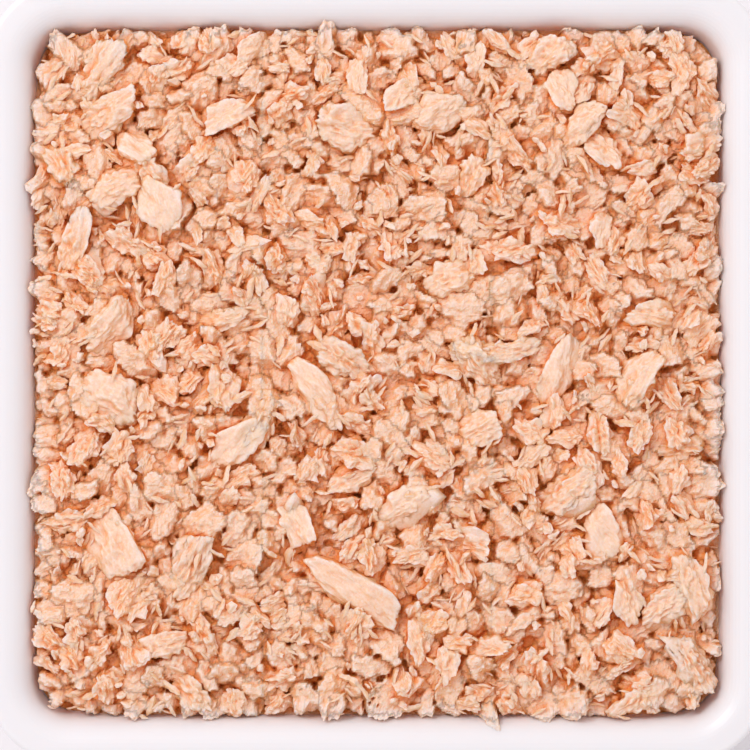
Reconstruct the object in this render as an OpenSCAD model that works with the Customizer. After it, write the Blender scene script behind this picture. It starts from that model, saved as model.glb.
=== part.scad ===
// Square serving tray filled with flaked tuna.
// The origin is the middle of the underside, +Z up, and the tray's sides lie along X and Y.

/* [Tray] */
// Width of the well between its walls, measured at the top of the rim
well_w = 143.6; // [115:0.1:175]
// Corner radius of the well at the top of the rim
well_corner_r = 9.3; // [8:0.1:20]
// Width of the rim, from the well to its outer edge
rim_w = 8.2; // [6.5:0.1:14]
// Thickness of the rim
rim_t = 3; // [2.6:0.1:5]
// Height of the rim above the table
tray_h = 20; // [16:0.5:32]
// Thickness of the side walls
wall_t = 3; // [2:0.1:5]
// Thickness of the floor
floor_t = 2.8; // [2:0.1:5]
// Lean of the walls away from upright, in degrees
draft = 14; // [3:1:18]
// Radius where the rim rolls over into the well
roll_r = 6; // [1:0.1:6.6]
// Radius between the well's walls and its floor
floor_r = 5; // [2:0.1:5.5]
// Rounding of the rim's outer edge
edge_r = 1.2; // [0.5:0.05:1.25]

/* [Foot] */
// Height of the foot ring
foot_h = 1.2; // [0.6:0.1:3]
// Width of the foot ring
foot_w = 4; // [2:0.1:8]
// Corner radius of the foot ring
foot_corner_r = 12; // [9:0.5:20]
// Distance from the foot ring in to the outside of the walls
foot_inset = 5; // [4:0.1:12]

/* [Flaked tuna] */
// Clearance between the heap and the well's walls
heap_gap = 0.6; // [0.3:0.1:3]
// Depth of the heap's edge below the top of the rim
heap_sink = 3.6; // [1:0.1:8]
// Height of the heap's middle above its edge
heap_crown = 5.4; // [0:0.1:12]
// Corner radius of the heap
heap_corner_r = 17; // [12:0.5:30]
// How far the ragged edge of the heap steps in
heap_ragged = 2.4; // [0:0.1:5]
// Spacing of the flakes that show on top
flake_pitch = 7; // [5:0.1:12]
// Length of a flake
flake_len = 9.5; // [6:0.1:16]
// Width of a flake
flake_wid = 5.5; // [3:0.1:10]
// Height of the steps between one flake and the next
flake_step = 2.2; // [0:0.1:3]
// Steepest slope of a flake's face, in degrees
flake_tilt = 20; // [0:1:30]
// Picks another random lie of the flakes
heap_seed = 7; // [1:1:99]

/* [Hidden] */
$fn = 96;

// Points along one quarter of a rounded corner in a section
ARC_STEPS = 10;
// Cells across the top of the heap, an even number
HEAP_CELLS = 54;
// Runs over the joins, so that neighbouring solids share volume
OVERLAP = 0.5;

// Sizes that follow from the tray's
well_half = well_w / 2;
tray_half = well_half + rim_w;
floor_z = foot_h + floor_t;
well_depth = tray_h - floor_z;
well_floor_half = well_half - well_depth * tan(draft);
// Middle of the corner arcs, which all sections of the tray share
corner_mid = well_half - well_corner_r;
// The floor's radius is held to what the well's corner leaves
floor_fillet = min(floor_r, (well_floor_half - corner_mid) * tan(45 + draft / 2));
wall_across = wall_t / cos(draft);
base_half = well_half + wall_across - (tray_h - foot_h) * tan(draft);
rim_under_half = well_half + wall_across - rim_t * tan(draft);
foot_half = base_half - foot_inset;

// Sizes that follow for the heap
heap_edge_z = tray_h - heap_sink;
heap_half = wall_half_at(heap_edge_z) - heap_gap;
heap_foot_half = well_floor_half - floor_fillet;
heap_belly_z = floor_z + floor_fillet;
heap_belly_half = wall_half_at(heap_belly_z) - heap_gap;
flake_cols = 2 * ceil(heap_half / flake_pitch) + 2;

// Half width of the well at a height
function wall_half_at(z) = well_half - (tray_h - z) * tan(draft);

function unit(v) = v / norm(v);

// The point list of an outline whose corners are [x, z, radius]
function rounded(corners) = [
    for (i = [0:len(corners) - 1])
        each round_corner(
            corners[(i + len(corners) - 1) % len(corners)],
            corners[i],
            corners[(i + 1) % len(corners)]
        )
];

// The arc at one corner, or the corner itself where its radius is 0
function round_corner(before, corner, after) =
    let (
        p = [corner.x, corner.y],
        a = unit([before.x, before.y] - p),
        b = unit([after.x, after.y] - p),
        half_angle = acos(a * b) / 2,
        r = corner.z
    )
    r == 0 ? [p] : let (
        start = p + a * r / tan(half_angle),
        middle = p + unit(a + b) * r / sin(half_angle),
        turn = 180 - 2 * half_angle,
        way = a.x * b.y - a.y * b.x < 0 ? 1 : -1,
        arm = start - middle
    ) [
        for (k = [0:ARC_STEPS])
            let (t = way * turn * k / ARC_STEPS)
            middle + [arm.x * cos(t) - arm.y * sin(t), arm.x * sin(t) + arm.y * cos(t)]
    ];

// Section of the tray from the corner arcs' middle outwards, as [distance, height]
function tray_section() = rounded([
    [0, foot_h, 0],
    [base_half - corner_mid, foot_h, floor_fillet],
    [rim_under_half - corner_mid, tray_h - rim_t, 0.6 * edge_r],
    [tray_half - corner_mid, tray_h - rim_t, edge_r],
    [tray_half - corner_mid, tray_h, edge_r],
    [well_half - corner_mid, tray_h, roll_r],
    [well_floor_half - corner_mid, floor_z, floor_fillet],
    [0, floor_z, 0]
]);

// A square with round corners, from true circles
module rounded_square(half, r) {
    inner = half - r;
    square([2 * half, 2 * inner], center = true);
    square([2 * inner, 2 * half], center = true);
    for (x = [-inner, inner], y = [-inner, inner])
        translate([x, y]) circle(r);
}

// One straight side of the tray, along Y at positive X
module tray_side() {
    translate([corner_mid, corner_mid, 0])
        rotate([90, 0, 0])
            linear_extrude(2 * corner_mid)
                polygon(tray_section());
}

// One corner of the tray, a quarter turn of the same section
module tray_corner() {
    translate([corner_mid, corner_mid, 0])
        rotate_extrude(angle = 90)
            polygon(tray_section());
}

// The ring that the tray stands on
module foot_ring() {
    linear_extrude(foot_h + OVERLAP)
        difference() {
            rounded_square(foot_half, foot_corner_r);
            rounded_square(foot_half - foot_w, foot_corner_r - foot_w);
        }
}

module tray() {
    color("whitesmoke") {
        for (turn = [0:90:270])
            rotate([0, 0, turn]) {
                tray_side();
                tray_corner();
            }
        translate([-corner_mid, -corner_mid, foot_h])
            cube([2 * corner_mid, 2 * corner_mid, floor_t]);
        foot_ring();
    }
}

// Distance from the middle to the side of a round-cornered square, along an angle
function square_reach(half, r, angle) =
    let (
        c = max(abs(cos(angle)), abs(sin(angle))),
        s = min(abs(cos(angle)), abs(sin(angle))),
        inner = half - r,
        along = inner * (c + s)
    )
    s * half <= c * inner
        ? half / c
        : along + sqrt(along * along - 2 * inner * inner + r * r);

// How far the heap's ragged edge steps in, along an angle, from 0 to 1
function ragged(angle) =
    0.5 + 0.2 * sin(7 * angle + 40) + 0.17 * sin(19 * angle + 110) + 0.13 * sin(41 * angle + 200);

// One random number for each cell of flakes
function cell_numbers(low, high, seed) = rands(low, high, flake_cols * flake_cols, seed);
flake_shift_x = cell_numbers(-0.45, 0.45, heap_seed);
flake_shift_y = cell_numbers(-0.45, 0.45, heap_seed + 1);
flake_heading = cell_numbers(0, 180, heap_seed + 2);
flake_size = cell_numbers(0.6, 1.35, heap_seed + 3);
flake_pitch_slope = cell_numbers(-1, 1, heap_seed + 4);
flake_roll_slope = cell_numbers(-1, 1, heap_seed + 5);
flake_lift = cell_numbers(-1, 0, heap_seed + 6);

// Height of one flake's domed and tilted top above the heap's own rise, at a point
function flake_top(col, row, x, y) =
    let (
        i = col * flake_cols + row,
        dx = x - (col + 0.5 - flake_cols / 2 + flake_shift_x[i]) * flake_pitch,
        dy = y - (row + 0.5 - flake_cols / 2 + flake_shift_y[i]) * flake_pitch,
        h = flake_heading[i],
        u = (dx * cos(h) + dy * sin(h)) / (flake_len / 2 * flake_size[i]),
        v = (dy * cos(h) - dx * sin(h)) / (flake_wid / 2 * flake_size[i]),
        slope = (flake_pitch_slope[i] * u + flake_roll_slope[i] * v) * flake_wid / 2 * tan(flake_tilt)
    )
    flake_step * (flake_lift[i] + 0.5 - 0.4 * (pow(u, 4) + pow(v, 4))) + slope;

// The highest flake over a point, from the flakes of the nine cells around it
function flakes_at(x, y) =
    let (
        col = floor(x / flake_pitch + flake_cols / 2),
        row = floor(y / flake_pitch + flake_cols / 2)
    )
    max(
        -flake_step,
        max([
            for (c = [max(0, col - 1):min(flake_cols - 1, col + 1)])
                for (r = [max(0, row - 1):min(flake_cols - 1, row + 1)])
                    flake_top(c, r, x, y)
        ])
    );

// Height of the heap's top at a point, where s and t run from -1 to 1 between its sides
function heap_top(x, y, s, t) =
    let (
        rise = (1 - pow(s, 6)) * (1 - pow(t, 6)),
        edge = max(abs(s), abs(t))
    )
    heap_edge_z + heap_crown * rise + flakes_at(x, y) * (1 - 0.5 * pow(edge, 12));

// A point of the heap's top, from its place in the square of cells
function heap_point(i, j) =
    let (
        s = 2 * i / HEAP_CELLS - 1,
        t = 2 * j / HEAP_CELLS - 1,
        edge = max(abs(s), abs(t)),
        angle = edge == 0 ? 0 : atan2(t, s),
        reach = square_reach(heap_half, heap_corner_r, angle) - heap_ragged * ragged(angle),
        x = edge * reach * cos(angle),
        y = edge * reach * sin(angle)
    )
    [x, y, heap_top(x, y, s, t)];

// The cell of the k-th point round the border, counterclockwise from the front left corner
function border_cell(k) =
    let (
        side = floor(k / HEAP_CELLS),
        along = k % HEAP_CELLS
    )
    side == 0 ? [along, 0]
    : side == 1 ? [HEAP_CELLS, along]
    : side == 2 ? [HEAP_CELLS - along, HEAP_CELLS]
    : [0, HEAP_CELLS - along];

// A ring under the border, drawn in so that the square with this half width holds it
function heap_ring(half, z) = [
    for (k = [0:4 * HEAP_CELLS - 1])
        let (
            cell = border_cell(k),
            p = heap_point(cell[0], cell[1])
        )
        [p.x * half / heap_half, p.y * half / heap_half, z]
];

module tuna_heap() {
    across = HEAP_CELLS + 1;
    around = 4 * HEAP_CELLS;
    top_count = across * across;
    top = [for (i = [0:HEAP_CELLS]) for (j = [0:HEAP_CELLS]) heap_point(i, j)];
    belly = heap_ring(heap_belly_half, heap_belly_z);
    foot = heap_ring(heap_foot_half, floor_z);
    border = [for (k = [0:around - 1]) let (c = border_cell(k)) c[0] * across + c[1]];
    belly_row = [for (k = [0:around - 1]) top_count + k];
    foot_row = [for (k = [0:around - 1]) top_count + around + k];
    middle = top_count + 2 * around;
    color("peachpuff")
        polyhedron(
            points = concat(top, belly, foot, [[0, 0, floor_z]]),
            faces = concat(
                [for (i = [0:HEAP_CELLS - 1]) for (j = [0:HEAP_CELLS - 1]) each cell_faces(i, j, across)],
                band_faces(border, belly_row),
                band_faces(belly_row, foot_row),
                [for (k = [0:around - 1]) [middle, foot_row[k], foot_row[(k + 1) % around]]]
            )
        );
}

// The two triangles of one cell of the heap's top
function cell_faces(i, j, across) =
    let (
        a = i * across + j,
        b = a + 1,
        c = a + across + 1,
        d = a + across
    )
    [[a, b, c], [a, c, d]];

// The triangles between an upper and a lower row of points
function band_faces(upper, lower) = [
    for (k = [0:len(upper) - 1])
        let (n = (k + 1) % len(upper))
        each [[upper[k], upper[n], lower[n]], [upper[k], lower[n], lower[k]]]
];

tray();
tuna_heap();
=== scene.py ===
"""A square white melamine tray, heaped with flaked tuna.

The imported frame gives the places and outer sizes. Each class holds the sizes of its own
sub-assembly as fields, in millimetres. The scene's own units are metres, so lengths are
turned to metres when a mesh or a node is made.
"""

import logging
import math
from dataclasses import dataclass
from enum import Enum

import bpy
import numpy as np
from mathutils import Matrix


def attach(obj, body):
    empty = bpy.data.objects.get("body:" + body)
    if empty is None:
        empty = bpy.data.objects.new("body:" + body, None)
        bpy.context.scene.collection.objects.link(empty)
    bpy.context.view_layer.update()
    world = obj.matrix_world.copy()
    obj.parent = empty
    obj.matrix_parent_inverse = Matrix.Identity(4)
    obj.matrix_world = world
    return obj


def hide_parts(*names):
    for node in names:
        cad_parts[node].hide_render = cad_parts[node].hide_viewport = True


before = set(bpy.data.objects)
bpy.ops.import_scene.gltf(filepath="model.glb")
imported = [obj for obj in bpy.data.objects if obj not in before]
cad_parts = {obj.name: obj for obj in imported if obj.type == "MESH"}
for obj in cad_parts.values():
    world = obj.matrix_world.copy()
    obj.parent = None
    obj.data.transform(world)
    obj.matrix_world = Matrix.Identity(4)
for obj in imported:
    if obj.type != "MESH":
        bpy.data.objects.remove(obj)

MM = 0.001
BODY = "root"
log = logging.getLogger("tray")

Points = np.ndarray
Faces = np.ndarray


def linear_rgba(hex_colour: str) -> tuple[float, float, float, float]:
    """Turn an sRGB colour into the linear one that a shader takes.

    Args:
        hex_colour: The colour as "#RRGGBB".

    Returns:
        Red, green, blue and an alpha of 1.
    """
    channels = [int(hex_colour[i:i + 2], 16) / 255 for i in (1, 3, 5)]
    turned = [c / 12.92 if c <= 0.04045 else ((c + 0.055) / 1.055) ** 2.4 for c in channels]
    return (turned[0], turned[1], turned[2], 1.0)


def add_node(tree: bpy.types.NodeTree, kind: str, settings: dict, links: dict) -> bpy.types.Node:
    """Add one node with its settings and its incoming links.

    Args:
        tree: The material's node tree.
        kind: The node's type, such as "ShaderNodeTexNoise".
        settings: Values by input socket or, where no socket has that name, by property.
        links: The output socket that feeds each named or numbered input.

    Returns:
        The new node.
    """
    node = tree.nodes.new(kind)
    for name, value in settings.items():
        if isinstance(name, str) and hasattr(node, name):
            setattr(node, name, value)
        else:
            node.inputs[name].default_value = value
    for name, output in links.items():
        tree.links.new(output, node.inputs[name])
    return node


def smoothstep(low: float, high: float, value: np.ndarray) -> np.ndarray:
    """Rise smoothly from 0 to 1 as value goes from low to high."""
    t = np.clip((value - low) / (high - low), 0.0, 1.0)
    return t * t * (3 - 2 * t)


def outside_square(x: np.ndarray, y: np.ndarray, half: float | np.ndarray,
                   corner: float | np.ndarray) -> np.ndarray:
    """Distance outside a round-cornered square, negative inside it.

    Args:
        x: Places along X.
        y: Places along Y.
        half: Half width of the square.
        corner: Radius of its corners.

    Returns:
        The signed distance of each place.
    """
    dx = np.abs(x) - (half - corner)
    dy = np.abs(y) - (half - corner)
    beyond = np.hypot(np.maximum(dx, 0), np.maximum(dy, 0))
    return beyond + np.minimum(np.maximum(dx, dy), 0) - corner


def make_piece(name: str, points: Points, faces: Faces, material: bpy.types.Material, node: str,
               marks: dict[str, np.ndarray], smooth: bool) -> bpy.types.Object:
    """Make one mesh piece that stands for a CAD node.

    Args:
        name: The piece's name.
        points: Its points, in millimetres.
        faces: Its triangles, as three point numbers each.
        material: Its finish.
        node: The CAD node that it replaces.
        marks: Values for each point by name, one number or three each, which the finish reads.
        smooth: Whether its triangles are shaded as one smooth surface, or each as a torn facet.

    Returns:
        The new object, riding on its body.
    """
    mesh = bpy.data.meshes.new(name)
    mesh.vertices.add(len(points))
    mesh.vertices.foreach_set("co", (points * MM).astype(np.float32).ravel())
    mesh.loops.add(faces.size)
    mesh.loops.foreach_set("vertex_index", faces.astype(np.int32).ravel())
    mesh.polygons.add(len(faces))
    mesh.polygons.foreach_set("loop_start", np.arange(0, faces.size, 3, dtype=np.int32))
    mesh.update(calc_edges=True)
    mesh.polygons.foreach_set("use_smooth", np.full(len(faces), smooth))
    for mark, values in marks.items():
        kind, part = ("FLOAT", "value") if values.ndim == 1 else ("FLOAT_VECTOR", "vector")
        layer = mesh.attributes.new(mark, kind, "POINT")
        layer.data.foreach_set(part, values.astype(np.float32).ravel())
    piece = bpy.data.objects.new(name, mesh)
    bpy.context.scene.collection.objects.link(piece)
    mesh.materials.append(material)
    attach(piece, BODY)
    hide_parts(node)
    log.info("%s: %d points, %d triangles", name, len(points), len(faces))
    return piece


class Grain:
    """Seeded gradient noise in three dimensions, for the lumps and fibres of the flesh."""

    TABLE = 256

    def __init__(self, seed: int) -> None:
        """Draw the noise's tables.

        Args:
            seed: Picks another noise.
        """
        rng = np.random.default_rng(seed)
        self.order = np.tile(rng.permutation(self.TABLE), 2)
        slopes = rng.normal(size=(self.TABLE, 3))
        self.slopes = (slopes / np.linalg.norm(slopes, axis=1, keepdims=True)).astype(np.float32)

    def at(self, places: Points) -> np.ndarray:
        """Read the noise.

        Args:
            places: Points in the noise's own units, with three numbers in the last axis.

        Returns:
            A value of about -0.7 to 0.7 for each point.
        """
        cell = np.floor(places).astype(np.int64)
        part = (places - cell).astype(np.float32)
        ease = part * part * part * (part * (part * 6 - 15) + 10)
        cell &= self.TABLE - 1
        total = np.zeros(places.shape[:-1], dtype=np.float32)
        for corner in np.ndindex(2, 2, 2):
            step = np.array(corner)
            spot = (cell + step) & (self.TABLE - 1)
            pick = self.order[self.order[self.order[spot[..., 0]] + spot[..., 1]] + spot[..., 2]]
            weight = np.prod(np.where(step, ease, 1 - ease), axis=-1)
            total += weight * np.sum(self.slopes[pick] * (part - step), axis=-1)
        return total

    def ridged(self, places: Points) -> np.ndarray:
        """Read the noise as sharp ridges, from -1 in the hollows to 1 on the crests."""
        return 1 - 4 * np.abs(self.at(places))

    def billowed(self, places: Points) -> np.ndarray:
        """Read the noise as round lumps with sharp creases between them, about 0 on average."""
        return 3 * np.abs(self.at(places)) - 0.55


@dataclass(frozen=True)
class Ramp:
    """A straight way from first to last while an input goes from low to high, level outside that."""

    low: float
    high: float
    first: float
    last: float

    def sockets(self) -> dict[str, float]:
        """Name the four numbers as a Map Range node does."""
        return {"From Min": self.low, "From Max": self.high, "To Min": self.first, "To Max": self.last}


@dataclass(frozen=True)
class CookedTuna:
    """Cooked tuna, torn along its fibres.

    The torn faces are matt and pale, whole faces keep a faint moist gloss. Light goes a millimetre or two
    into the flesh and comes out warmer, so that hollows and thin edges turn orange, and the hollows are
    also painted with a darker orange shade. Real fibres are about 0.1 mm thick, too fine to show, and are
    drawn as coarse as they need to be.

    The five ramps say how far a point pales towards the crest colour on a fibre and on a crumb, which is
    the flesh's own mottling, on a face that looks up, which is painted light, and on a sharp rim, which is
    a painted highlight, and how far it turns to the hollow colour where it is sheltered or buried, which
    is painted shade. Faces that turn away pale less, which is painted shade too.
    """

    slot: str = "tuna_meat"
    # Crest is the pale of fibres and crumbs, and also the colour of the painted highlight on upturned
    # faces and sharp rims.
    crest: str = "#FDE7E1"
    pale: str = "#FACFAD"
    flesh: str = "#F7B578"
    # Hollow is the colour of the painted shade in sheltered and buried places.
    hollow: str = "#F78F2E"
    fibre_run: float = 2.2
    fibre_pitch: float = 0.36
    patch: float = 2.6
    patch_share: float = 0.6
    patch_shift: float = -0.1
    flake_share: float = 0.6
    relief: float = 0.14
    crumb: float = 0.55
    crumb_relief: float = 0.34
    strands: Ramp = Ramp(0.46, 0.72, 0.0, 0.22)
    specks: Ramp = Ramp(0.36, 0.66, -0.14, 0.26)
    # Level paints light on faces that look up and shade on faces that turn away.
    level: Ramp = Ramp(0.35, 0.95, -0.35, 0.3)
    # This ramp paints a highlight on sharp crests.
    rim_highlight: Ramp = Ramp(0.1, 0.75, 0.0, 0.4)
    # This ramp paints shade: how far a sheltered or buried point turns to the hollow colour.
    painted_shade: Ramp = Ramp(0.1, 0.65, 0.0, 0.85)
    roughness: float = 0.55
    glow: float = 0.34
    glow_reach: float = 1.5
    glow_colour: tuple[float, float, float] = (1.0, 0.6, 0.4)
    moisture: float = 0.06

    def build(self) -> bpy.types.Material:
        """Build the material.

        Returns:
            The material, which reads five marks of each point: its grain, tint and roughness, where shade
            is painted and where a crest highlight is painted.
        """
        material = bpy.data.materials.new("cooked_tuna")
        material.use_nodes = True
        tree = material.node_tree
        tree.nodes.clear()
        grain, tint, rough, painted_shade, crest_highlight = (
            add_node(tree, "ShaderNodeAttribute", {"attribute_name": mark}, {})
            for mark in ("grain", "tint", "rough", "painted_shade", "crest_highlight"))
        along = (1 / self.fibre_run, 1 / self.fibre_pitch, 1 / self.fibre_pitch)
        stretched = add_node(tree, "ShaderNodeVectorMath", {"operation": "MULTIPLY", 1: along},
                             {0: grain.outputs["Vector"]})
        fibres = add_node(tree, "ShaderNodeTexNoise", {"Scale": 1.0, "Detail": 3.0, "Roughness": 0.6},
                          {"Vector": stretched.outputs[0]})
        patches = add_node(tree, "ShaderNodeTexNoise", {"Scale": 1 / self.patch, "Detail": 2.0},
                           {"Vector": grain.outputs["Vector"]})
        body_share = add_node(tree, "ShaderNodeMath",
                              {"operation": "MULTIPLY_ADD", 1: self.patch_share, 2: self.patch_shift},
                              {0: patches.outputs["Fac"]})
        body_tint = add_node(tree, "ShaderNodeMath",
                             {"operation": "MULTIPLY_ADD", 1: self.flake_share, "use_clamp": True},
                             {0: tint.outputs["Fac"], 2: body_share.outputs[0]})
        body = add_node(tree, "ShaderNodeMix",
                        {"data_type": "RGBA", 6: linear_rgba(self.flesh), 7: linear_rgba(self.pale)},
                        {0: body_tint.outputs[0]})
        crumbling = add_node(tree, "ShaderNodeTexNoise",
                             {"Scale": 1 / self.crumb, "Detail": 3.0, "Roughness": 0.62},
                             {"Vector": grain.outputs["Vector"]})
        strands = add_node(tree, "ShaderNodeMapRange", self.strands.sockets(),
                           {"Value": fibres.outputs["Fac"]})
        specks = add_node(tree, "ShaderNodeMapRange", self.specks.sockets(),
                          {"Value": crumbling.outputs["Fac"]})
        # Faces that look up pale and faces turned away pale less: painted light and shade by facing.
        surface = add_node(tree, "ShaderNodeNewGeometry", {}, {})
        lie = add_node(tree, "ShaderNodeSeparateXYZ", {}, {0: surface.outputs["Normal"]})
        level = add_node(tree, "ShaderNodeMapRange", self.level.sockets(), {"Value": lie.outputs["Z"]})
        # Sharp crests pale: a painted highlight.
        rim_highlight = add_node(tree, "ShaderNodeMapRange", self.rim_highlight.sockets(), {"Value": crest_highlight.outputs["Fac"]})
        mottled = add_node(tree, "ShaderNodeMath", {"operation": "ADD"},
                           {0: strands.outputs[0], 1: specks.outputs[0]})
        risen = add_node(tree, "ShaderNodeMath", {"operation": "ADD"},
                         {0: mottled.outputs[0], 1: rim_highlight.outputs[0]})
        crests = add_node(tree, "ShaderNodeMath", {"operation": "ADD", "use_clamp": True},
                          {0: risen.outputs[0], 1: level.outputs[0]})
        striped = add_node(tree, "ShaderNodeMix", {"data_type": "RGBA", 7: linear_rgba(self.crest)},
                           {0: crests.outputs[0], 6: body.outputs[2]})
        # Sheltered and buried points turn towards the hollow colour, as painted shade.
        painted_shade_share = add_node(tree, "ShaderNodeMapRange", self.painted_shade.sockets(),
                             {"Value": painted_shade.outputs["Fac"]})
        colour = add_node(tree, "ShaderNodeMix", {"data_type": "RGBA", 7: linear_rgba(self.hollow)},
                          {0: painted_shade_share.outputs[0], 6: striped.outputs[2]})
        torn = add_node(tree, "ShaderNodeMath", {"operation": "MULTIPLY"},
                        {0: fibres.outputs["Fac"], 1: rough.outputs["Fac"]})
        uneven = add_node(tree, "ShaderNodeMath", {"operation": "MULTIPLY"},
                          {0: crumbling.outputs["Fac"], 1: rough.outputs["Fac"]})
        coarse = add_node(tree, "ShaderNodeBump", {"Strength": 0.9, "Distance": self.crumb_relief * MM},
                          {"Height": uneven.outputs[0]})
        bump = add_node(tree, "ShaderNodeBump", {"Strength": 0.8, "Distance": self.relief * MM},
                        {"Height": torn.outputs[0], "Normal": coarse.outputs[0]})
        skin = add_node(tree, "ShaderNodeBsdfPrincipled",
                        {"Roughness": self.roughness, "IOR": 1.4, "Subsurface Weight": self.glow,
                         "Subsurface Scale": self.glow_reach * MM, "Subsurface Radius": self.glow_colour,
                         "Coat Weight": self.moisture, "Coat Roughness": 0.3},
                        {"Base Color": colour.outputs[2], "Normal": bump.outputs[0]})
        add_node(tree, "ShaderNodeOutputMaterial", {}, {"Surface": skin.outputs[0]})
        return material


@dataclass(frozen=True)
class MouldedMelamine:
    """White melamine, pressed in a polished mould.

    The surface is even and softly glossy, with clean highlights along the roll-over and the rim's edge.
    Light passes a few millimetres into it, which softens the shade on the walls. Its polish has worn a
    little duller in broad patches, and a fine pitting keeps the gloss from looking wet. Real pits are far
    finer than half a millimetre, and are drawn as coarse as they need to show.
    """

    white: str = "#EDEAED"
    worn_patch: float = 26.0
    pitting: float = 0.5
    pit_height: float = 0.003
    polish: Ramp = Ramp(0.0, 1.0, 0.29, 0.36)
    glow: float = 0.5
    glow_reach: float = 2.6
    glow_colour: tuple[float, float, float] = (1.0, 0.9, 0.85)

    def build(self) -> bpy.types.Material:
        """Build the material.

        Returns:
            The material.
        """
        material = bpy.data.materials.new("moulded_melamine")
        material.use_nodes = True
        tree = material.node_tree
        tree.nodes.clear()
        place = add_node(tree, "ShaderNodeTexCoord", {}, {})
        wear = add_node(tree, "ShaderNodeTexNoise", {"Scale": 1 / (self.worn_patch * MM), "Detail": 1.0},
                        {"Vector": place.outputs["Object"]})
        pits = add_node(tree, "ShaderNodeTexNoise", {"Scale": 1 / (self.pitting * MM), "Detail": 2.0},
                        {"Vector": place.outputs["Object"]})
        pitted = add_node(tree, "ShaderNodeBump", {"Strength": 0.6, "Distance": self.pit_height * MM},
                          {"Height": pits.outputs["Fac"]})
        polish = add_node(tree, "ShaderNodeMapRange", self.polish.sockets(),
                          {"Value": wear.outputs["Fac"]})
        shell = add_node(tree, "ShaderNodeBsdfPrincipled",
                         {"Base Color": linear_rgba(self.white), "IOR": 1.5,
                          "Subsurface Weight": self.glow, "Subsurface Scale": self.glow_reach * MM,
                          "Subsurface Radius": self.glow_colour},
                         {"Roughness": polish.outputs[0], "Normal": pitted.outputs[0]})
        add_node(tree, "ShaderNodeOutputMaterial", {}, {"Surface": shell.outputs[0]})
        return material


@dataclass(frozen=True)
class Well:
    """The hollow that holds the heap, as the tray's walls leave it.

    The roll-over's arc is followed up to a share of its radius, above which the rim is nearly level.
    """

    rim_z: float = 20.0
    half_at_rim: float = 71.8
    draft: float = 14.0
    roll_r: float = 6.0
    arc_share: float = 0.85
    corner_mid: float = 62.5
    clearance: float = 0.2

    def half_at(self, z: np.ndarray) -> np.ndarray:
        """Half width of the well at a height, less the clearance that the flakes keep.

        Args:
            z: The heights.

        Returns:
            The half width along the leaning wall or, above that, along the roll-over's arc.
        """
        lean = math.radians(self.draft)
        wall = self.half_at_rim - (self.rim_z - z) * math.tan(lean)
        middle = self.half_at_rim + self.roll_r * math.tan(math.pi / 4 - lean / 2)
        rise = z - (self.rim_z - self.roll_r)
        arc = middle - np.sqrt(self.roll_r ** 2 - np.clip(rise, 0, self.arc_share * self.roll_r) ** 2)
        return np.where(rise > self.roll_r * math.sin(lean), arc, wall) - self.clearance


@dataclass(frozen=True)
class Mound:
    """The heap's broad shape: level over most of the well, lower along the walls and in the corners."""

    edge_z: float = 16.3
    crown: float = 4.8
    half: float = 70.8
    corner: float = 9.5
    roundness: float = 12.0
    top_z: float = 23.5
    corner_fall: float = 3.0
    fall_from: float = 87.0
    fall_to: float = 97.0

    def height(self, x: np.ndarray, y: np.ndarray) -> np.ndarray:
        """Height that the flakes are heaped to at a place.

        Args:
            x: Places along X.
            y: Places along Y.

        Returns:
            The height at each place.
        """
        s = np.clip(np.abs(x) / self.half, 0, 1) ** self.roundness
        t = np.clip(np.abs(y) / self.half, 0, 1) ** self.roundness
        diagonal = (np.abs(x) + np.abs(y)) / math.sqrt(2)
        fall = self.corner_fall * smoothstep(self.fall_from, self.fall_to, diagonal)
        return self.edge_z + self.crown * (1 - s) * (1 - t) - fall


class Shading(Enum):
    """Whether a kind of piece is shaded as one smooth surface, or each triangle as a torn facet."""

    WHOLE = True
    CRUMBLED = False


class Form(Enum):
    """What a kind of piece is shaped from."""

    FLAKE = "a cut blank"
    STRAND = "a pointed strand of fibre"


class Unevenness(Enum):
    """The kinds of unevenness of torn flesh.

    Each has the size of its features along, across and through the fibres, in mm, a shift that says where
    in the noise it is read, so that no kind follows another, and its weight in the relief.
    """

    LUMPS = ((1.5, 1.5, 1.5), 31, 1.2)
    FOLDS = ((5.0, 1.15, 1.15), 57, 0.75)
    FIBRES = ((2.6, 0.62, 0.62), 83, 0.55)
    TERRACES = ((8.0, 2.6, 6.0), 71, 1.1)
    WADS = ((3.0, 1.8, 1.8), 43, 1.0)
    CRUMBS = ((1.5, 0.8, 0.8), 47, 0.75)
    JAGS = ((1.1, 0.8, 1.6), 11, 1.4)
    NOTCHES = ((0.9, 0.6, 1.4), 13, 0.7)
    TEETH = ((6.0, 0.6, 0.9), 5, 0.6)

    @property
    def weight(self) -> float:
        """Its weight in the relief."""
        return self.value[2]

    def places(self, points: Points, start: Points) -> Points:
        """Turn points of a piece to the places where the noise is read for this kind."""
        size, shift, _ = self.value
        return points / np.array(size) + start + shift


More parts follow.
